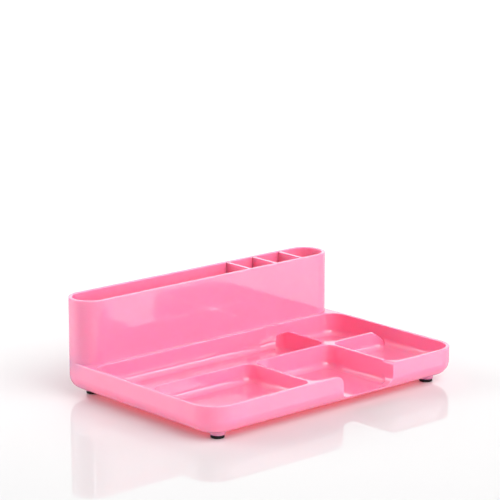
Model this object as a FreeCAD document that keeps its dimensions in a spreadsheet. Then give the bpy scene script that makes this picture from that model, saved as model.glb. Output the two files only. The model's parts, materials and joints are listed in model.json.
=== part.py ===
# Desk pen holder: a low compartment tray with a tall pen box along its rear edge,
# three slide-in pen dividers and four pushed-in foot pads. Millimetres, +Z up.
# The origin is the middle of the footprint, on the desk.
import FreeCAD, Part
import Sketcher
import math
import os

doc = FreeCAD.newDocument("pen_holder")
Vector = FreeCAD.Vector

# Driving dimensions

sizes = doc.addObject("Spreadsheet::Sheet", "Sizes")
SIZE_VALUES = [
    # Outside of the whole organizer
    ("overall_length", 300.0),
    ("overall_depth", 208.4),
    ("rim_height", 33.2),
    ("pen_box_top", 91.6),
    ("pen_box_depth", 39.8),
    # Tray moulding
    ("underside_height", 7.0),
    ("bottom_edge_radius", 12.5),
    ("front_corner_radius", 23.5),
    ("outer_wall", 3.4),
    ("floor_thickness", 5.0),
    ("raised_floor_step", 4.4),
    ("rim_rounding", 0.8),
    # Compartment walls
    ("divider_wall", 2.8),
    ("ledge_width", 3.4),
    ("cross_wall_from_front", 86.2),
    ("long_wall_from_right", 84.5),
    ("short_wall_from_left", 119.4),
    ("pocket_corner_radius", 10.5),
    ("pocket_floor_radius", 6.0),
    ("rear_pocket_radius", 17.0),
    # Curled free ends of the two walls round the rear right compartment
    ("rear_passage", 11.3),
    ("side_passage", 14.0),
    ("rear_curl_reach", 9.2),
    ("side_curl_reach", 9.5),
    ("rear_curl_drop", 9.8),
    ("side_curl_drop", 11.5),
    ("rear_curl_slope", 27.0),
    ("side_curl_slope", 37.0),
    ("curl_shoulder_radius", 7.0),
    ("curl_nose_radius", 5.5),
    # Finger notch in the front wall
    ("notch_width", 61.4),
    ("notch_lead_radius", 8.2),
    ("notch_foot_radius", 6.5),
    ("notch_side_radius", 10.0),
    ("notch_far_radius", 3.0),
    # Pen box and its lip joint
    ("pen_box_wall", 3.6),
    ("lip_height", 4.0),
    ("lip_thickness", 1.8),
    ("joint_clearance", 0.1),
    # Pen dividers
    ("plate_thickness", 2.8),
    ("first_plate_from_right", 38.4),
    ("plate_pitch", 33.0),
    ("groove_depth", 1.0),
    ("plate_top_drop", 0.4),
    ("plate_side_clearance", 0.2),
    # Feet
    ("foot_from_side", 23.8),
    ("foot_from_front", 19.9),
    ("foot_from_back", 16.4),
    ("boss_diameter", 13.3),
    ("pad_diameter", 12.2),
    ("pad_thickness", 2.9),
    ("pad_rounding", 0.5),
    ("stem_diameter", 6.0),
    ("stem_length", 3.4),
]
for row, (alias, value) in enumerate(SIZE_VALUES, start=1):
    sizes.set(f"A{row}", alias)
    sizes.set(f"B{row}", str(value))
    sizes.setAlias(f"B{row}", alias)
doc.recompute()

# Places worked out from the driving dimensions. Tray places run from its left and front faces.

layout = doc.addObject("Spreadsheet::Sheet", "Layout")
LAYOUT_FORMULAS = [
    ("zero", "0"),
    ("half_length", "Sizes.overall_length / 2"),
    ("half_depth", "Sizes.overall_depth / 2"),
    ("end_radius", "Sizes.pen_box_depth / 2"),
    ("tray_body_height", "Sizes.rim_height - Sizes.underside_height"),
    ("floor_top", "Sizes.underside_height + Sizes.floor_thickness"),
    ("raised_floor_top", "Sizes.underside_height + Sizes.floor_thickness + Sizes.raised_floor_step"),
    ("right_inner", "Sizes.overall_length - Sizes.outer_wall"),
    ("rear_inner", "Sizes.overall_depth - Sizes.pen_box_depth - Sizes.ledge_width"),
    ("cross_front", "Sizes.cross_wall_from_front - Sizes.divider_wall / 2"),
    ("cross_rear", "Sizes.cross_wall_from_front + Sizes.divider_wall / 2"),
    ("long_left", "Sizes.overall_length - Sizes.long_wall_from_right - Sizes.divider_wall / 2"),
    ("long_right", "Sizes.overall_length - Sizes.long_wall_from_right + Sizes.divider_wall / 2"),
    ("short_left", "Sizes.short_wall_from_left - Sizes.divider_wall / 2"),
    ("short_right", "Sizes.short_wall_from_left + Sizes.divider_wall / 2"),
    ("front_inner_radius", "Sizes.front_corner_radius - Sizes.outer_wall"),
    ("notch_left", "long_left - Sizes.notch_width"),
    ("rim_fillet", "min(Sizes.rim_rounding; Sizes.divider_wall / 3; Sizes.outer_wall / 3)"),
    ("floor_fillet", "min(Sizes.pocket_floor_radius; 0.95 * Sizes.pocket_corner_radius)"),
    ("deep_pocket", "Sizes.rim_height - Sizes.underside_height - Sizes.floor_thickness"),
    ("shallow_pocket", "deep_pocket - Sizes.raised_floor_step"),
    ("wall_cut_span", "Sizes.divider_wall + 2 * Sizes.pocket_corner_radius"),
    ("curl_outer", "Sizes.pocket_corner_radius + Sizes.divider_wall"),
    ("curl_foot", "Sizes.pocket_corner_radius - floor_fillet"),
    ("half_turn", "sqrt(0.5)"),
    ("curl_bulge", "curl_outer - half_turn * Sizes.pocket_corner_radius + rim_fillet / 2"),
    ("curl_back", "curl_bulge + Sizes.pocket_corner_radius"),
    ("curl_end", "half_turn * (Sizes.pocket_corner_radius + curl_outer)"),
    ("rear_curl_nose", "Sizes.rim_height - Sizes.rear_curl_drop"),
    ("side_curl_nose", "Sizes.rim_height - Sizes.side_curl_drop"),
    ("rear_curl_x", "long_left - Sizes.pocket_corner_radius"),
    ("rear_curl_y", "rear_inner - Sizes.rear_passage - Sizes.pocket_corner_radius"),
    ("side_curl_x", "right_inner - Sizes.side_passage - Sizes.pocket_corner_radius"),
    ("side_curl_y", "cross_front - Sizes.pocket_corner_radius"),
    ("cut_top", "Sizes.rim_height + 2 * rim_fillet"),
    ("pen_box_front", "Sizes.overall_depth - Sizes.pen_box_depth"),
    ("pen_box_middle", "Sizes.overall_depth - Sizes.pen_box_depth / 2"),
    ("pen_box_end", "Sizes.overall_length - end_radius"),
    ("pen_box_rise", "Sizes.pen_box_top - Sizes.rim_height"),
    ("pen_box_reach", "pen_box_rise + Sizes.lip_height"),
    ("bay_radius", "end_radius - Sizes.pen_box_wall"),
    ("lip_radius", "bay_radius + Sizes.lip_thickness"),
    ("rabbet_radius", "lip_radius + Sizes.joint_clearance"),
    ("rabbet_depth", "Sizes.lip_height + Sizes.joint_clearance"),
    ("last_plate", "Sizes.overall_length - Sizes.first_plate_from_right"),
    ("second_plate", "last_plate - Sizes.plate_pitch"),
    ("first_plate", "second_plate - Sizes.plate_pitch"),
    ("groove_half", "bay_radius + Sizes.groove_depth"),
    ("groove_length", "2 * groove_half"),
    ("groove_width", "Sizes.plate_thickness + 2 * Sizes.joint_clearance"),
    ("plate_half_upper", "groove_half - Sizes.plate_side_clearance"),
    ("plate_half_lower", "bay_radius - Sizes.plate_side_clearance"),
    ("plate_foot_radius", "floor_fillet + Sizes.plate_side_clearance"),
    ("plate_shoulder", "Sizes.rim_height + Sizes.joint_clearance"),
    ("plate_top", "Sizes.pen_box_top - Sizes.plate_top_drop"),
    ("boss_root", "Sizes.underside_height + Sizes.floor_thickness / 2"),
    ("boss_radius", "Sizes.boss_diameter / 2"),
    ("pad_radius", "Sizes.pad_diameter / 2"),
    ("stem_radius", "Sizes.stem_diameter / 2"),
    ("boss_height", "boss_root - Sizes.pad_thickness"),
    ("stem_hole_radius", "Sizes.stem_diameter / 2 + Sizes.joint_clearance"),
    ("stem_hole_depth", "Sizes.stem_length + 2 * Sizes.joint_clearance"),
    ("foot_far_side", "Sizes.overall_length - Sizes.foot_from_side"),
    ("foot_far_front", "Sizes.overall_depth - Sizes.foot_from_back"),
]
for row, (alias, formula) in enumerate(LAYOUT_FORMULAS, start=1):
    layout.set(f"A{row}", alias)
    layout.set(f"B{row}", "=" + formula)
    layout.setAlias(f"B{row}", alias)
    doc.recompute()


def size(cell):
    sheet_name, alias = cell.split(".")
    return float(doc.getObject(sheet_name).get(alias))


# Sketch helpers: every length is a named constraint bound to a cell

START, END, CENTRE = range(1, 4)
ORIGIN = -1
LEVEL_TOLERANCE = 1e-4
SKETCH_UP = Vector(0, 1, 0)
QUARTER_TURN = 90
REAR_CURL_TURN = 135
SIDE_CURL_TURN = -45


def new_body(label):
    body = doc.addObject("PartDesign::Body", label)
    body.Label = label
    return body


def new_sketch(body, name, plane, offsets, turn=0):
    """A sketch moved off its plane by formulas, and turned by degrees about its own upright."""
    sketch = body.newObject("Sketcher::SketchObject", name)
    planes = [f for f in body.Origin.OriginFeatures if f.Role == plane]
    sketch.AttachmentSupport = [(planes[0], "")]
    sketch.MapMode = "FlatFace"
    sketch.AttachmentOffset = FreeCAD.Placement(Vector(), FreeCAD.Rotation(SKETCH_UP, turn))
    for axis, formula in offsets.items():
        sketch.setExpression(f"AttachmentOffset.Base.{axis}", formula)
    return sketch


def bind(sketch, kind, *args):
    *references, cell = args
    index = sketch.addConstraint(Sketcher.Constraint(kind, *references, size(cell)))
    sketch.setExpression(f"Constraints[{index}]", cell)


def place(sketch, point, across=None, up=None):
    if across:
        bind(sketch, "DistanceX", ORIGIN, START, *point, across)
    if up:
        bind(sketch, "DistanceY", ORIGIN, START, *point, up)


def line(sketch, a, b):
    return sketch.addGeometry(Part.LineSegment(Vector(*a, 0), Vector(*b, 0)))


def arc(sketch, centre, radius, first, last):
    whole = Part.Circle(Vector(*centre, 0), Vector(0, 0, 1), radius)
    return sketch.addGeometry(Part.ArcOfCircle(whole, math.radians(first), math.radians(last)))


def join(sketch, first, first_point, second, second_point, kind="Tangent"):
    sketch.addConstraint(Sketcher.Constraint(kind, first, first_point, second, second_point))


def level(sketch, *lines):
    for item in lines:
        sketch.addConstraint(Sketcher.Constraint("Horizontal", item))


def upright(sketch, *lines):
    for item in lines:
        sketch.addConstraint(Sketcher.Constraint("Vertical", item))


def rounded_rectangle(sketch, left, right, front, rear, radii):
    """Four lines and four corner arcs. radii: front left, front right, rear right, rear left."""
    x0, x1, y0, y1 = size(left), size(right), size(front), size(rear)
    fl, fr, rr, rl = [size(cell) for cell in radii]
    front_line = line(sketch, (x0 + fl, y0), (x1 - fr, y0))
    right_line = line(sketch, (x1, y0 + fr), (x1, y1 - rr))
    rear_line = line(sketch, (x1 - rr, y1), (x0 + rl, y1))
    left_line = line(sketch, (x0, y1 - rl), (x0, y0 + fl))
    arcs = [
        arc(sketch, (x0 + fl, y0 + fl), fl, 180, 270),
        arc(sketch, (x1 - fr, y0 + fr), fr, 270, 360),
        arc(sketch, (x1 - rr, y1 - rr), rr, 0, 90),
        arc(sketch, (x0 + rl, y1 - rl), rl, 90, 180),
    ]
    level(sketch, front_line, rear_line)
    upright(sketch, right_line, left_line)
    ring = [left_line, arcs[0], front_line, arcs[1], right_line, arcs[2], rear_line, arcs[3]]
    for item, following in zip(ring, ring[1:] + ring[:1]):
        join(sketch, item, END, following, START)
    for corner, cell in zip(arcs, radii):
        bind(sketch, "Radius", corner, cell)
    place(sketch, (left_line, START), across=left)
    place(sketch, (right_line, START), across=right)
    place(sketch, (front_line, START), up=front)
    place(sketch, (rear_line, START), up=rear)


def stadium(sketch, left, right, middle, radius):
    """A slot outline with full-round ends about the line y = middle."""
    x0, x1, y, r = size(left), size(right), size(middle), size(radius)
    lower = line(sketch, (x0, y - r), (x1, y - r))
    right_end = arc(sketch, (x1, y), r, -90, 90)
    upper = line(sketch, (x1, y + r), (x0, y + r))
    left_end = arc(sketch, (x0, y), r, 90, 270)
    ring = [lower, right_end, upper, left_end]
    level(sketch, lower)
    for item, following in zip(ring, ring[1:] + ring[:1]):
        join(sketch, item, END, following, START)
    bind(sketch, "Radius", right_end, radius)
    place(sketch, (left_end, CENTRE), across=left, up=middle)
    place(sketch, (right_end, CENTRE), across=right)


def circle(sketch, across, up, radius):
    ring = sketch.addGeometry(Part.Circle(Vector(size(across), size(up), 0), Vector(0, 0, 1), size(radius)))
    bind(sketch, "Radius", ring, radius)
    place(sketch, (ring, CENTRE), across=across, up=up)


def feature(body, kind, name, sketch, length, reverse=False):
    item = body.newObject("PartDesign::" + kind, name)
    item.Profile = sketch
    item.Type = 0
    item.Reversed = reverse
    item.setExpression("Length", length)
    doc.recompute()
    if kind == "Pocket" and item.Shape.Volume >= item.BaseFeature.Shape.Volume:
        raise RuntimeError(f"{name} cuts nothing")
    return item


def round_edges(body, name, base, radius, chosen):
    """Round the edges of the base feature that the chosen test accepts."""
    names = [f"Edge{i}" for i, e in enumerate(base.Shape.Edges, start=1) if chosen(e.BoundBox)]
    item = body.newObject("PartDesign::Fillet", name)
    item.Base = (base, names)
    item.setExpression("Radius", radius)
    doc.recompute()
    return item


def at_height(cell, test=lambda box: True):
    z = size(cell)
    return lambda box: max(abs(box.ZMin - z), abs(box.ZMax - z)) < LEVEL_TOLERANCE and test(box)


TRAY_CORNER = {"x": "-Layout.half_length", "y": "-Layout.half_depth"}


def tray_sketch(body, name, height):
    """A level sketch whose origin is the tray's front left corner."""
    return new_sketch(body, name, "XY_Plane", {**TRAY_CORNER, "z": height})


# Tray: the low moulding that carries everything

CORNER = "Sizes.pocket_corner_radius"
FRONT_CORNER = "Layout.front_inner_radius"
COMPARTMENTS = {
    # name: left, right, front, rear, corner radii (front left, front right, rear right, rear left)
    "rear_long": ("Sizes.outer_wall", "Layout.long_left", "Layout.cross_rear", "Layout.rear_inner",
                  (CORNER, CORNER, CORNER, CORNER)),
    "rear_right": ("Layout.long_right", "Layout.right_inner", "Layout.cross_rear", "Layout.rear_inner",
                   (CORNER, CORNER, "Sizes.rear_pocket_radius", CORNER)),
    "front_middle": ("Layout.short_right", "Layout.long_left", "Sizes.outer_wall", "Layout.cross_front",
                     (CORNER, CORNER, CORNER, CORNER)),
    "front_left": ("Sizes.outer_wall", "Layout.short_left", "Sizes.outer_wall", "Layout.cross_front",
                   (FRONT_CORNER, CORNER, CORNER, CORNER)),
    "front_right": ("Layout.long_right", "Layout.right_inner", "Sizes.outer_wall", "Layout.cross_front",
                    (CORNER, FRONT_CORNER, CORNER, CORNER)),
}
DEEP = ["rear_long", "rear_right", "front_middle"]
SHALLOW = ["front_left", "front_right"]


def tray_block(body):
    sketch = tray_sketch(body, "tray_outline", "Sizes.underside_height")
    bounds = ("Layout.zero", "Sizes.overall_length", "Layout.zero", "Sizes.overall_depth")
    front, rear = "Sizes.front_corner_radius", "Layout.end_radius"
    rounded_rectangle(sketch, *bounds, (front, front, rear, rear))
    feature(body, "Pad", "tray_block", sketch, "Layout.tray_body_height")


def tray_compartments(body):
    for names, depth, floor in ((DEEP, "Layout.deep_pocket", "Layout.floor_top"),
                                (SHALLOW, "Layout.shallow_pocket", "Layout.raised_floor_top")):
        sketch = tray_sketch(body, names[0] + "_outlines", "Sizes.rim_height")
        for name in names:
            rounded_rectangle(sketch, *COMPARTMENTS[name])
        pocket = feature(body, "Pocket", names[0] + "_pockets", sketch, depth)
        rounded = round_edges(body, names[0] + "_floors", pocket, "Layout.floor_fillet",
                              at_height(floor))
    round_edges(body, "rim_rounded", rounded, "Layout.rim_fillet", at_height("Sizes.rim_height"))


def wall_end_cut(sketch, start, limit, floor):
    """The passage beyond a wall's end: down to the floor, then up the rounded foot of the outer wall."""
    x0, x1 = size(start), size(limit)
    base, top, round_foot = size(floor), size("Layout.cut_top"), size("Layout.floor_fillet")
    drop = line(sketch, (x0, top), (x0, base))
    bottom = line(sketch, (x0, base), (x1 - round_foot, base))
    foot = arc(sketch, (x1 - round_foot, base + round_foot), round_foot, 270, 360)
    rise = line(sketch, (x1, base + round_foot), (x1, top))
    close = line(sketch, (x1, top), (x0, top))
    upright(sketch, drop, rise)
    level(sketch, bottom, close)
    join(sketch, drop, END, bottom, START, "Coincident")
    join(sketch, bottom, END, foot, START)
    join(sketch, foot, END, rise, START)
    join(sketch, rise, END, close, START, "Coincident")
    join(sketch, close, END, drop, START, "Coincident")
    bind(sketch, "Radius", foot, "Layout.floor_fillet")
    place(sketch, (bottom, START), across=start, up=floor)
    place(sketch, (rise, START), across=limit)
    place(sketch, (close, START), up="Layout.cut_top")


def curl_section(sketch, floor):
    """Half section of a curled wall about the sketch's upright axis, with its rounded inner foot."""
    inner, outer = size("Sizes.pocket_corner_radius"), size("Layout.curl_outer")
    toe, foot = size("Layout.curl_foot"), size("Layout.floor_fillet")
    base, low, rim = size(floor), size("Sizes.underside_height"), size("Sizes.rim_height")
    root = line(sketch, (toe, base), (toe, low))
    under = line(sketch, (toe, low), (outer, low))
    outside = line(sketch, (outer, low), (outer, rim))
    over = line(sketch, (outer, rim), (inner, rim))
    inside = line(sketch, (inner, rim), (inner, base + foot))
    hollow = arc(sketch, (toe, base + foot), foot, 270, 360)
    upright(sketch, root, outside, inside)
    level(sketch, under, over)
    ring = [root, under, outside, over, inside]
    for item, following in zip(ring, ring[1:]):
        join(sketch, item, END, following, START, "Coincident")
    join(sketch, inside, END, hollow, END)
    join(sketch, hollow, START, root, START, "Coincident")
    sketch.addConstraint(Sketcher.Constraint("Vertical", hollow, CENTRE, hollow, START))
    bind(sketch, "Radius", hollow, "Layout.floor_fillet")
    place(sketch, (root, START), across="Layout.curl_foot", up=floor)
    place(sketch, (outside, START), across="Layout.curl_outer", up="Sizes.underside_height")
    place(sketch, (over, START), up="Sizes.rim_height")


def curl_top_cut(sketch, floor, reach, nose_height, slope):
    """Everything above a curl's falling top: a round shoulder, a slope, a round nose, and past the end."""
    angle = math.radians(size(slope))
    bend, blunt = size("Sizes.curl_shoulder_radius"), size("Sizes.curl_nose_radius")
    rim, low, top = size("Sizes.rim_height"), size(floor), size("Layout.cut_top")
    near, tip, far = size(reach), size(nose_height), size("Layout.curl_end")
    nose_x, nose_y = near - blunt * (1 - math.sin(angle)), tip + blunt * math.cos(angle)
    fall_y = rim - bend * (1 - math.cos(angle))
    fall_x = nose_x - (fall_y - nose_y) / math.tan(angle)
    lead = fall_x - bend * math.sin(angle)
    start = line(sketch, (lead, top), (lead, rim))
    shoulder = arc(sketch, (lead, rim - bend), bend, 90 - math.degrees(angle), 90)
    fall = line(sketch, (nose_x, nose_y), (fall_x, fall_y))
    nose = arc(sketch, (near - blunt, tip), blunt, 0, 90 - math.degrees(angle))
    face = line(sketch, (near, tip), (near, low))
    bottom = line(sketch, (near, low), (far, low))
    rise = line(sketch, (far, low), (far, top))
    close = line(sketch, (far, top), (lead, top))
    upright(sketch, start, face, rise)
    level(sketch, bottom, close)
    join(sketch, start, END, shoulder, END, "Coincident")
    join(sketch, shoulder, START, fall, END)
    join(sketch, fall, START, nose, END)
    join(sketch, nose, START, face, START)
    ring = [face, bottom, rise, close, start]
    for item, following in zip(ring, ring[1:]):
        join(sketch, item, END, following, START, "Coincident")
    sketch.addConstraint(Sketcher.Constraint("Vertical", shoulder, CENTRE, shoulder, END))
    bind(sketch, "Radius", shoulder, "Sizes.curl_shoulder_radius")
    bind(sketch, "Radius", nose, "Sizes.curl_nose_radius")
    lean = sketch.addConstraint(Sketcher.Constraint("Angle", fall, math.pi - angle))
    sketch.setExpression(f"Constraints[{lean}]", f"180 deg - {slope} * 1 deg")
    place(sketch, (face, START), across=reach, up=nose_height)
    place(sketch, (bottom, START), up=floor)
    place(sketch, (rise, START), across="Layout.curl_end")
    place(sketch, (start, END), up="Sizes.rim_height")
    place(sketch, (close, START), up="Layout.cut_top")


def wall_curl(body, name, axis, floor, root, top_cells, turn, reverse):
    """A wall's end turned into its compartment on an arc, its top falling to a blunt nose."""
    sketch = new_sketch(body, name + "_section", "XZ_Plane", {
        "x": f"{axis[0]} - Layout.half_length", "z": f"Layout.half_depth - {axis[1]}"})
    curl_section(sketch, floor)
    ring = body.newObject("PartDesign::Revolution", name)
    ring.Profile = sketch
    ring.ReferenceAxis = (sketch, ["V_Axis"])
    ring.Angle = QUARTER_TURN
    doc.recompute()
    sketch = new_sketch(body, name + "_top", "XZ_Plane", {
        "x": f"{root[0]} + Layout.half_turn * Layout.curl_bulge - Layout.half_length",
        "z": f"Layout.half_depth - {root[1]} - Layout.half_turn * Layout.curl_bulge"}, turn)
    curl_top_cut(sketch, floor, *top_cells)
    feature(body, "Pocket", name + "_top_cut", sketch, "Layout.curl_back", reverse)


def tray_wall_ends(body):
    sketch = new_sketch(body, "long_wall_end", "YZ_Plane", {
        "x": "-Layout.half_depth",
        "z": "Layout.long_right + Sizes.pocket_corner_radius - Layout.half_length"})
    wall_end_cut(sketch, "Layout.rear_curl_y", "Layout.rear_inner", "Layout.floor_top")
    feature(body, "Pocket", "long_wall_end_cut", sketch, "Layout.wall_cut_span")
    sketch = new_sketch(body, "cross_wall_end", "XZ_Plane", {
        "x": "-Layout.half_length",
        "z": "Layout.half_depth - Layout.cross_front + Sizes.pocket_corner_radius"})
    wall_end_cut(sketch, "Layout.side_curl_x", "Layout.right_inner", "Layout.raised_floor_top")
    feature(body, "Pocket", "cross_wall_end_cut", sketch, "Layout.wall_cut_span")
    wall_curl(body, "rear_curl", ("Layout.rear_curl_x", "Layout.rear_curl_y"), "Layout.floor_top",
              ("Layout.long_left", "Layout.rear_curl_y"),
              ("Sizes.rear_curl_reach", "Layout.rear_curl_nose", "Sizes.rear_curl_slope"),
              REAR_CURL_TURN, False)
    wall_curl(body, "side_curl", ("Layout.side_curl_x", "Layout.side_curl_y"), "Layout.raised_floor_top",
              ("Layout.side_curl_x", "Layout.cross_front"),
              ("Sizes.side_curl_reach", "Layout.side_curl_nose", "Sizes.side_curl_slope"),
              SIDE_CURL_TURN, True)


def tray_notch(body):
    """Finger notch: from the front middle compartment's floor straight out through the front wall."""
    sketch = new_sketch(body, "notch_outline", "XZ_Plane",
                        {"x": "-Layout.half_length", "z": "Layout.half_depth"})
    x0, x1 = size("Layout.notch_left"), size("Layout.long_left")
    floor, rim, top = size("Layout.floor_top"), size("Sizes.rim_height"), size("Layout.cut_top")
    lead, far = size("Sizes.notch_lead_radius"), size("Sizes.notch_far_radius")
    foot, side = size("Sizes.notch_foot_radius"), size("Sizes.notch_side_radius")
    left_ear = line(sketch, (x0 - lead, top), (x0 - lead, rim))
    right_ear = line(sketch, (x1 + far, rim), (x1 + far, top))
    lead_arc = arc(sketch, (x0 - lead, rim - lead), lead, 0, 90)
    left_side = line(sketch, (x0, rim - lead), (x0, floor + foot))
    foot_arc = arc(sketch, (x0 + foot, floor + foot), foot, 180, 270)
    bottom = line(sketch, (x0 + foot, floor), (x1 - side, floor))
    side_arc = arc(sketch, (x1 - side, floor + side), side, 270, 360)
    right_side = line(sketch, (x1, floor + side), (x1, rim - far))
    far_arc = arc(sketch, (x1 + far, rim - far), far, 90, 180)
    close = line(sketch, (x1 + far, top), (x0 - lead, top))
    upright(sketch, left_side, right_side, left_ear, right_ear)
    level(sketch, bottom, close)
    join(sketch, left_ear, END, lead_arc, END, "Coincident")
    join(sketch, lead_arc, START, left_side, START)
    join(sketch, left_side, END, foot_arc, START)
    join(sketch, foot_arc, END, bottom, START)
    join(sketch, bottom, END, side_arc, START)
    join(sketch, side_arc, END, right_side, START)
    join(sketch, right_side, END, far_arc, END)
    join(sketch, far_arc, START, right_ear, START, "Coincident")
    join(sketch, right_ear, END, close, START, "Coincident")
    join(sketch, close, END, left_ear, START, "Coincident")
    for item, cell in ((lead_arc, "Sizes.notch_lead_radius"), (foot_arc, "Sizes.notch_foot_radius"),
                       (side_arc, "Sizes.notch_side_radius"), (far_arc, "Sizes.notch_far_radius")):
        bind(sketch, "Radius", item, cell)
    sketch.addConstraint(Sketcher.Constraint("Vertical", lead_arc, CENTRE, lead_arc, END))
    sketch.addConstraint(Sketcher.Constraint("Vertical", far_arc, CENTRE, far_arc, START))
    place(sketch, (left_side, START), across="Layout.notch_left")
    place(sketch, (right_side, START), across="Layout.long_left")
    place(sketch, (bottom, START), up="Layout.floor_top")
    place(sketch, (lead_arc, END), up="Sizes.rim_height")
    place(sketch, (far_arc, START), up="Sizes.rim_height")
    place(sketch, (close, START), up="Layout.cut_top")
    feature(body, "Pocket", "notch", sketch, "Sizes.outer_wall + Sizes.pocket_corner_radius")


def tray_pen_bay(body):
    """Square-edged seat for the pen box, the lower half of the pen space and the rabbet for the lip."""
    ends = ("Layout.end_radius", "Layout.pen_box_end")
    sketch = tray_sketch(body, "seat_outline", "Sizes.rim_height")
    stadium(sketch, *ends, "Layout.pen_box_middle", "Layout.end_radius")
    feature(body, "Pad", "pen_box_seat", sketch, "2 * Layout.rim_fillet", reverse=True)
    sketch = tray_sketch(body, "bay_outline", "Sizes.rim_height")
    stadium(sketch, *ends, "Layout.pen_box_middle", "Layout.bay_radius")
    bay = feature(body, "Pocket", "pen_bay", sketch, "Layout.deep_pocket")
    behind = size("Layout.pen_box_front") - size("Layout.half_depth")
    round_edges(body, "pen_bay_floor", bay, "Layout.floor_fillet",
                at_height("Layout.floor_top", lambda box: box.YMin > behind))
    sketch = tray_sketch(body, "rabbet_outline", "Sizes.rim_height")
    stadium(sketch, *ends, "Layout.pen_box_middle", "Layout.rabbet_radius")
    rabbet = feature(body, "Pocket", "lip_rabbet", sketch, "Layout.rabbet_depth")
    round_edges(body, "tray_bottom_edge", rabbet, "Sizes.bottom_edge_radius",
                at_height("Sizes.underside_height"))


FOOT_PLACES = {
    "front_left": ("Sizes.foot_from_side", "Sizes.foot_from_front"),
    "front_right": ("Layout.foot_far_side", "Sizes.foot_from_front"),
    "rear_left": ("Sizes.foot_from_side", "Layout.foot_far_front"),
    "rear_right": ("Layout.foot_far_side", "Layout.foot_far_front"),
}


def tray_foot_bosses(body):
    sketch = tray_sketch(body, "boss_outlines", "Layout.boss_root")
    for across, up in FOOT_PLACES.values():
        circle(sketch, across, up, "Layout.boss_radius")
    feature(body, "Pad", "foot_bosses", sketch, "Layout.boss_height", reverse=True)
    sketch = tray_sketch(body, "stem_hole_outlines", "Sizes.pad_thickness")
    for across, up in FOOT_PLACES.values():
        circle(sketch, across, up, "Layout.stem_hole_radius")
    feature(body, "Pocket", "stem_holes", sketch, "Layout.stem_hole_depth", reverse=True)


def make_tray():
    body = new_body("tray")
    tray_block(body)
    tray_compartments(body)
    tray_pen_bay(body)
    tray_wall_ends(body)
    tray_notch(body)
    tray_foot_bosses(body)
    return body


# Pen box: an open tube with full-round ends, whose lip drops into the tray's rabbet

PLATE_PLACES = {
    "left": "Layout.first_plate",
    "middle": "Layout.second_plate",
    "right": "Layout.last_plate",
}


def plate_grooves(body):
    sketch = tray_sketch(body, "groove_outlines", "Sizes.pen_box_top")
    half, width = size("Layout.groove_half"), size("Layout.groove_width")
    middle = size("Layout.pen_box_middle")
    for cell in PLATE_PLACES.values():
        x = size(cell)
        front = line(sketch, (x - width / 2, middle - half), (x + width / 2, middle - half))
        right = line(sketch, (x + width / 2, middle - half), (x + width / 2, middle + half))
        rear = line(sketch, (x + width / 2, middle + half), (x - width / 2, middle + half))
        left = line(sketch, (x - width / 2, middle + half), (x - width / 2, middle - half))
        ring = [front, right, rear, left]
        for item, following in zip(ring, ring[1:] + ring[:1]):
            join(sketch, item, END, following, START, "Coincident")
        level(sketch, front, rear)
        upright(sketch, left, right)
        hub = sketch.addGeometry(Part.Point(Vector(x, middle, 0)), True)
        sketch.addConstraint(Sketcher.Constraint("Symmetric", front, START, rear, START, hub, START))
        bind(sketch, "DistanceX", front, START, front, END, "Layout.groove_width")
        bind(sketch, "DistanceY", right, START, right, END, "Layout.groove_length")
        place(sketch, (hub, START), across=cell, up="Layout.pen_box_middle")
    feature(body, "Pocket", "plate_grooves", sketch, "Layout.pen_box_reach")


def make_pen_box():
    body = new_body("pen_box")
    ends = ("Layout.end_radius", "Layout.pen_box_end", "Layout.pen_box_middle")
    sketch = tray_sketch(body, "pen_box_outline", "Sizes.rim_height")
    stadium(sketch, *ends, "Layout.end_radius")
    feature(body, "Pad", "pen_box_block", sketch, "Layout.pen_box_rise")
    sketch = tray_sketch(body, "lip_outline", "Sizes.rim_height")
    stadium(sketch, *ends, "Layout.lip_radius")
    feature(body, "Pad", "pen_box_lip", sketch, "Sizes.lip_height", reverse=True)
    sketch = tray_sketch(body, "pen_space_outline", "Sizes.pen_box_top")
    stadium(sketch, *ends, "Layout.bay_radius")
    tube = feature(body, "Pocket", "pen_space", sketch, "Layout.pen_box_reach")
    round_edges(body, "pen_box_rim", tube, "Layout.rim_fillet", at_height("Sizes.pen_box_top"))
    plate_grooves(body)
    return body


# Pen dividers: plates that slide down their grooves and stand on the tray's floor

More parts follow.
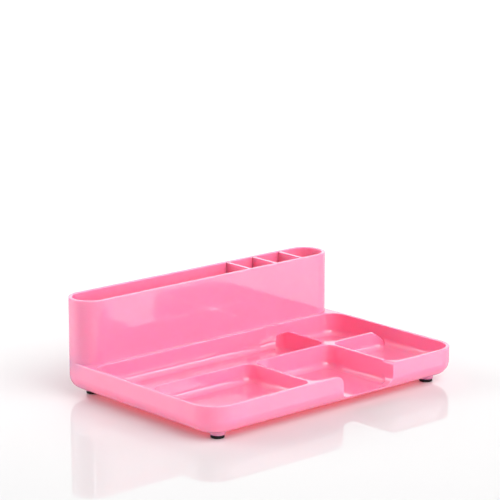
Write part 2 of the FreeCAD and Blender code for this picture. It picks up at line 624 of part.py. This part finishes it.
def make_pen_divider(side, place_cell):
    body = new_body(f"pen_divider_{side}")
    sketch = new_sketch(body, f"plate_outline_{side}", "YZ_Plane", {"z": "-Sizes.plate_thickness / 2"})
    wide, slim = size("Layout.plate_half_upper"), size("Layout.plate_half_lower")
    foot, shoulder = size("Layout.plate_foot_radius"), size("Layout.plate_shoulder")
    floor, top = size("Layout.floor_top"), size("Layout.plate_top")
    bottom = line(sketch, (foot - slim, floor), (slim - foot, floor))
    right_foot = arc(sketch, (slim - foot, floor + foot), foot, 270, 360)
    right_low = line(sketch, (slim, floor + foot), (slim, shoulder))
    right_step = line(sketch, (slim, shoulder), (wide, shoulder))
    right_high = line(sketch, (wide, shoulder), (wide, top))
    over = line(sketch, (wide, top), (-wide, top))
    left_high = line(sketch, (-wide, top), (-wide, shoulder))
    left_step = line(sketch, (-wide, shoulder), (-slim, shoulder))
    left_low = line(sketch, (-slim, shoulder), (-slim, floor + foot))
    left_foot = arc(sketch, (foot - slim, floor + foot), foot, 180, 270)
    ring = [bottom, right_foot, right_low, right_step, right_high,
            over, left_high, left_step, left_low, left_foot]
    for item, following in zip(ring, ring[1:] + ring[:1]):
        smooth = right_foot in (item, following) or left_foot in (item, following)
        join(sketch, item, END, following, START, "Tangent" if smooth else "Coincident")
    level(sketch, bottom, right_step, left_step)
    upright(sketch, right_low, right_high, left_high, left_low)
    sketch.addConstraint(Sketcher.Constraint("Symmetric", over, START, over, END, -2))
    sketch.addConstraint(Sketcher.Constraint("Symmetric", right_low, END, left_low, START, -2))
    bind(sketch, "Radius", right_foot, "Layout.plate_foot_radius")
    bind(sketch, "Radius", left_foot, "Layout.plate_foot_radius")
    place(sketch, (right_low, END), across="Layout.plate_half_lower", up="Layout.plate_shoulder")
    place(sketch, (over, START), across="Layout.plate_half_upper", up="Layout.plate_top")
    place(sketch, (bottom, START), up="Layout.floor_top")
    feature(body, "Pad", f"plate_{side}", sketch, "Sizes.plate_thickness")
    body.setExpression("Placement.Base.x", f"{place_cell} - Layout.half_length")
    body.setExpression("Placement.Base.y", "Layout.pen_box_middle - Layout.half_depth")
    return body


# Foot pads: soft discs with a stem pushed into each boss

def make_foot_pad(corner, across, up):
    body = new_body(f"foot_pad_{corner}")
    disc_sketch = new_sketch(body, f"disc_outline_{corner}", "XY_Plane", {})
    circle(disc_sketch, "Layout.zero", "Layout.zero", "Layout.pad_radius")
    feature(body, "Pad", f"disc_{corner}", disc_sketch, "Sizes.pad_thickness")
    stem_sketch = new_sketch(body, f"stem_outline_{corner}", "XY_Plane", {"z": "Sizes.pad_thickness"})
    circle(stem_sketch, "Layout.zero", "Layout.zero", "Layout.stem_radius")
    stem = feature(body, "Pad", f"stem_{corner}", stem_sketch, "Sizes.stem_length")
    round_edges(body, f"pad_edge_{corner}", stem, "Sizes.pad_rounding", at_height("Layout.zero"))
    body.setExpression("Placement.Base.x", f"{across} - Layout.half_length")
    body.setExpression("Placement.Base.y", f"{up} - Layout.half_depth")
    return body


nodes = [make_tray(), make_pen_box()]
nodes += [make_pen_divider(side, cell) for side, cell in PLATE_PLACES.items()]
nodes += [make_foot_pad(corner, *cells) for corner, cells in FOOT_PLACES.items()]
doc.recompute()

# Nothing is written unless every step of the model is sound

for item in doc.Objects:
    if "Invalid" in item.State or "Error" in item.State:
        raise RuntimeError(f"{item.Name} failed: {item.State}")
for node in nodes:
    if node.Shape.isNull() or not node.Shape.isValid() or len(node.Shape.Solids) != 1:
        raise RuntimeError(f"{node.Label} is not one sound solid")

os.makedirs("parts", exist_ok=True)
for node in nodes:
    node.Shape.exportStep(f"parts/{node.Label}.step")
    box = node.Shape.optimalBoundingBox(False)
    print(f"{node.Label}: {box.XLength:.1f} x {box.YLength:.1f} x {box.ZLength:.1f} mm, "
          f"{node.Shape.Volume / 1000:.2f} cm3")
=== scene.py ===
# Desk pen holder: a glossy pink moulding on soft black feet, on a white studio table.
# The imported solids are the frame. Metres, +Z up, origin under the middle of the tray.
import bpy
import json
import math
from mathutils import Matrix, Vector

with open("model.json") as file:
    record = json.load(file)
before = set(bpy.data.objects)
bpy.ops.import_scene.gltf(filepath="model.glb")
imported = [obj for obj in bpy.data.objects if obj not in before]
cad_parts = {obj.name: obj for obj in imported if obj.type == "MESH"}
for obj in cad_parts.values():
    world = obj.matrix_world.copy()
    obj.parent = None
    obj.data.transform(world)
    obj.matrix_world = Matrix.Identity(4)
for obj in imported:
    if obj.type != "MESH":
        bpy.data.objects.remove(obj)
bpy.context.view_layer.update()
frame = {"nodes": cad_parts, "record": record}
nodes = frame["nodes"]
print("loaded", len(nodes), "solids")


# small helpers for shader trees

def newMaterial(name):
    material = bpy.data.materials.new(name)
    material.use_nodes = True
    tree = material.node_tree
    tree.nodes.clear()
    shader = tree.nodes.new("ShaderNodeBsdfPrincipled")
    output = tree.nodes.new("ShaderNodeOutputMaterial")
    tree.links.new(shader.outputs["BSDF"], output.inputs["Surface"])
    return material, tree, shader


def noiseAt(tree, scale, detail, roughness=0.5):
    place = tree.nodes.new("ShaderNodeTexCoord")
    noise = tree.nodes.new("ShaderNodeTexNoise")
    noise.inputs["Scale"].default_value = scale
    noise.inputs["Detail"].default_value = detail
    noise.inputs["Roughness"].default_value = roughness
    tree.links.new(place.outputs["Object"], noise.inputs["Vector"])
    return noise.outputs["Fac"]


def spread(tree, source, low, high, given=(0.0, 1.0)):
    ramp = tree.nodes.new("ShaderNodeMapRange")
    ramp.inputs["From Min"].default_value = given[0]
    ramp.inputs["From Max"].default_value = given[1]
    ramp.inputs["To Min"].default_value = low
    ramp.inputs["To Max"].default_value = high
    tree.links.new(source, ramp.inputs["Value"])
    return ramp.outputs["Result"]


def facing(tree, space, way):
    place = tree.nodes.new("ShaderNodeTexCoord")
    along = tree.nodes.new("ShaderNodeVectorMath")
    along.operation = "DOT_PRODUCT"
    along.inputs[1].default_value = way
    tree.links.new(place.outputs[space], along.inputs[0])
    return along.outputs["Value"]


def combine(tree, operation, first, second):
    maths = tree.nodes.new("ShaderNodeMath")
    maths.operation = operation
    tree.links.new(first, maths.inputs[0])
    tree.links.new(second, maths.inputs[1])
    return maths.outputs["Value"]


def tint(tree, source, first, second):
    blend = tree.nodes.new("ShaderNodeMix")
    blend.data_type = "RGBA"
    blend.inputs["A"].default_value = (*first, 1)
    blend.inputs["B"].default_value = (*second, 1)
    tree.links.new(source, blend.inputs["Factor"])
    return blend.outputs["Result"]


def relief(tree, source, depth):
    bump = tree.nodes.new("ShaderNodeBump")
    bump.inputs["Distance"].default_value = depth
    tree.links.new(source, bump.inputs["Height"])
    return bump.outputs["Normal"]


# pink moulding

pinkMoulding = {
    "dye": (1.0, 0.245, 0.42),
    "flowTint": (1.0, 0.255, 0.43),     # faint cloudiness of the dye
    "flowScale": 9.0,
    "flowDetail": 3,
    "polish": (0.05, 0.08),             # roughness, from best to dullest patch
    "polishScale": 55.0,
    "polishDetail": 4,
    "sinkScale": 26.0,                  # slow waves of a cooled moulding
    "sinkDetail": 1,
    "sinkDepth": 0.00001,
    "ior": 1.7,
    "glow": 0.6,                        # share of light that goes through the thin walls
    "glowReach": (0.020, 0.0015, 0.0025),
    "glowScale": 1.0,
}


def makePinkMoulding():
    look = pinkMoulding
    material, tree, shader = newMaterial("pinkMoulding")
    flow = noiseAt(tree, look["flowScale"], look["flowDetail"])
    tree.links.new(tint(tree, flow, look["dye"], look["flowTint"]), shader.inputs["Base Color"])
    polish = noiseAt(tree, look["polishScale"], look["polishDetail"])
    tree.links.new(spread(tree, polish, *look["polish"]), shader.inputs["Roughness"])
    waves = noiseAt(tree, look["sinkScale"], look["sinkDetail"])
    tree.links.new(relief(tree, waves, look["sinkDepth"]), shader.inputs["Normal"])
    shader.inputs["IOR"].default_value = look["ior"]
    shader.inputs["Subsurface Weight"].default_value = look["glow"]
    shader.inputs["Subsurface Radius"].default_value = look["glowReach"]
    shader.inputs["Subsurface Scale"].default_value = look["glowScale"]
    return material


# black foot rubber

footRubber = {
    "colour": (0.004, 0.004, 0.005),
    "dustTint": (0.012, 0.011, 0.011),
    "dustScale": 260.0,
    "dustDetail": 5,
    "dustRoughness": 0.6,
    "grain": 900.0,
    "grainDetail": 3,
    "grainDepth": 0.00004,
    "dull": (0.55, 0.8),                # roughness, from cleanest to dustiest patch
    "sheen": 0.2,                       # share of the usual gloss
}


def makeFootRubber():
    look = footRubber
    material, tree, shader = newMaterial("footRubber")
    dust = noiseAt(tree, look["dustScale"], look["dustDetail"], look["dustRoughness"])
    tree.links.new(tint(tree, dust, look["colour"], look["dustTint"]), shader.inputs["Base Color"])
    tree.links.new(spread(tree, dust, *look["dull"]), shader.inputs["Roughness"])
    grain = noiseAt(tree, look["grain"], look["grainDetail"])
    tree.links.new(relief(tree, grain, look["grainDepth"]), shader.inputs["Normal"])
    shader.inputs["Specular IOR Level"].default_value = look["sheen"]
    return material


finishes = {"pink_plastic": makePinkMoulding(), "black_rubber": makeFootRubber()}
for part in frame["record"]["subparts"]:
    mesh = nodes[part["node"]].data
    mesh.materials.clear()
    mesh.materials.append(finishes[part["material_slot"]])
print("finished", ", ".join(sorted(nodes)))


# white table, its colour painted darker towards the camera as painted shade

tableTop = {
    "size": 14.0,
    "drop": 0.0001,                     # keeps the table just under the feet
    "near": (0.73, 0.725, 0.725),
    "far": (0.90, 0.90, 0.90),
    "paintedShade": (-0.3, 0.7),                # painted shade, darkest at the near edge of the picture and fading out behind the object
    "away": (0.663, 0.749, 0.0),        # the way that the table runs from the camera
    "polish": 0.03,
    "ior": 1.2,
}


def makeTable():
    half = tableTop["size"] / 2
    corners = [(-half, -half), (half, -half), (half, half), (-half, half)]
    mesh = bpy.data.meshes.new("table")
    mesh.from_pydata([(x, y, -tableTop["drop"]) for x, y in corners], [], [(0, 1, 2, 3)])
    table = bpy.data.objects.new("table", mesh)
    bpy.context.scene.collection.objects.link(table)
    material, tree, shader = newMaterial("tableAcrylic")
    # painted shade: the table's base colour darkens towards the camera in place of light falling off
    paintedShade = spread(tree, facing(tree, "Object", tableTop["away"]), 0.0, 1.0, tableTop["paintedShade"])
    tree.links.new(tint(tree, paintedShade, tableTop["near"], tableTop["far"]), shader.inputs["Base Color"])
    shader.inputs["Roughness"].default_value = tableTop["polish"]
    shader.inputs["IOR"].default_value = tableTop["ior"]
    mesh.materials.append(material)


# white backdrop and large soft boxes far off, each box by the way to its middle and its strength

surround = {
    "backdrop": 1.0,                    # plain white, as the camera and the polished faces see it
    "backdropSide": (0.6, 0.7, 0.39),   # towards the white backdrop, away from the dim room
    "backdropFade": (-0.3, 0.5),
    "roomDim": 0.05,
    "boxTightness": 9.0,                # how fast a soft box fades from its middle
    "softBoxes": {
        "frontLow": {"aim": (0.0, -0.95, 0.31), "power": 3.25},
        "frontRight": {"aim": (0.67, -0.67, 0.31), "power": 2.2},
        "frontHigh": {"aim": (0.0, -0.62, 0.79), "power": 2.9},
        "rearLeft": {"aim": (-0.69, 0.69, 0.20), "power": 6.2},
        "rearRight": {"aim": (0.67, 0.67, 0.31), "power": 2.0},
        "rear": {"aim": (0.0, 0.95, 0.31), "power": 0.5},
    },
}


def softBoxGlow(tree, setting):
    towards = spread(tree, facing(tree, "Generated", setting["aim"]), 0.0, 1.0)
    shape = tree.nodes.new("ShaderNodeMath")
    shape.operation = "POWER"
    shape.inputs[1].default_value = surround["boxTightness"]
    tree.links.new(towards, shape.inputs[0])
    return spread(tree, shape.outputs["Value"], 0.0, setting["power"])


def makeSurround():
    world = bpy.data.worlds.new("surround")
    world.use_nodes = True
    tree = world.node_tree
    tree.nodes.clear()
    rays = tree.nodes.new("ShaderNodeLightPath").outputs
    glow = None
    for setting in surround["softBoxes"].values():
        box = softBoxGlow(tree, setting)
        glow = box if glow is None else combine(tree, "ADD", glow, box)
    side = facing(tree, "Generated", surround["backdropSide"])
    backdrop = spread(tree, side, surround["roomDim"], surround["backdrop"], surround["backdropFade"])
    shiny = combine(tree, "MAXIMUM", rays["Is Glossy Ray"], rays["Is Transmission Ray"])
    glow = combine(tree, "MAXIMUM", glow, combine(tree, "MULTIPLY", shiny, backdrop))
    level = tree.nodes.new("ShaderNodeMix")
    tree.links.new(rays["Is Camera Ray"], level.inputs["Factor"])
    tree.links.new(glow, level.inputs["A"])
    level.inputs["B"].default_value = surround["backdrop"]
    sky = tree.nodes.new("ShaderNodeBackground")
    tree.links.new(level.outputs["Result"], sky.inputs["Strength"])
    sky.inputs["Color"].default_value = (1, 1, 1, 1)
    output = tree.nodes.new("ShaderNodeOutputWorld")
    tree.links.new(sky.outputs["Background"], output.inputs["Surface"])
    bpy.context.scene.world = world


# lamps that only the polished faces show
# aim runs from the object to the lamp; spread is the lamp's width in degrees as the object sees it

glintLamps = {
    "keyGlint": {"aim": (0.645, -0.715, 0.268), "spread": 12, "power": 0.14},
    "cornerGlint": {"aim": (-0.43, -0.80, 0.42), "spread": 15, "power": 0.9},
}


def makeGlintLamp(name, setting):
    lamp = bpy.data.lights.new(name, "SUN")
    lamp.energy = setting["power"]
    lamp.angle = math.radians(setting["spread"])
    holder = bpy.data.objects.new(name, lamp)
    holder.rotation_euler = Vector(setting["aim"]).to_track_quat("Z", "Y").to_euler()
    holder.visible_diffuse = False
    bpy.context.scene.collection.objects.link(holder)


# light that comes through the thin floor of the tray and reddens the shadow under it

underGlow = {
    "size": (0.265, 0.172),
    "height": 0.0062,
    "colour": (1.0, 0.05, 0.09),
    "power": 0.065,
}


def makeUnderGlow():
    lamp = bpy.data.lights.new("underGlow", "AREA")
    lamp.shape = "RECTANGLE"
    lamp.size, lamp.size_y = underGlow["size"]
    lamp.color = underGlow["colour"]
    lamp.energy = underGlow["power"]
    holder = bpy.data.objects.new("underGlow", lamp)
    holder.location = (0, 0, underGlow["height"])
    holder.visible_camera = False
    holder.visible_glossy = False
    bpy.context.scene.collection.objects.link(holder)


makeTable()
makeSurround()
makeUnderGlow()
for name, setting in glintLamps.items():
    makeGlintLamp(name, setting)
bpy.context.scene.view_settings.view_transform = "Standard"
print("studio ready")


# camera at the photograph's viewing angle

viewpoint = {
    "place": (-1.3190, -1.4741, 0.5961),
    "turn": 41.5,                       # degrees to the right of straight back
    "tilt": 13.31,                      # degrees down
    "focalPixels": 2264.0,
    "framePixels": 500.0,
    "sensor": 36.0,
}


def makeCamera():
    lens = bpy.data.cameras.new("camera")
    lens.sensor_width = viewpoint["sensor"]
    lens.lens = viewpoint["sensor"] * viewpoint["focalPixels"] / viewpoint["framePixels"]
    camera = bpy.data.objects.new("camera", lens)
    camera.location = viewpoint["place"]
    camera.rotation_euler = (math.radians(90 - viewpoint["tilt"]), 0, math.radians(-viewpoint["turn"]))
    bpy.context.scene.collection.objects.link(camera)
    bpy.context.scene.camera = camera


makeCamera()
print("camera set")
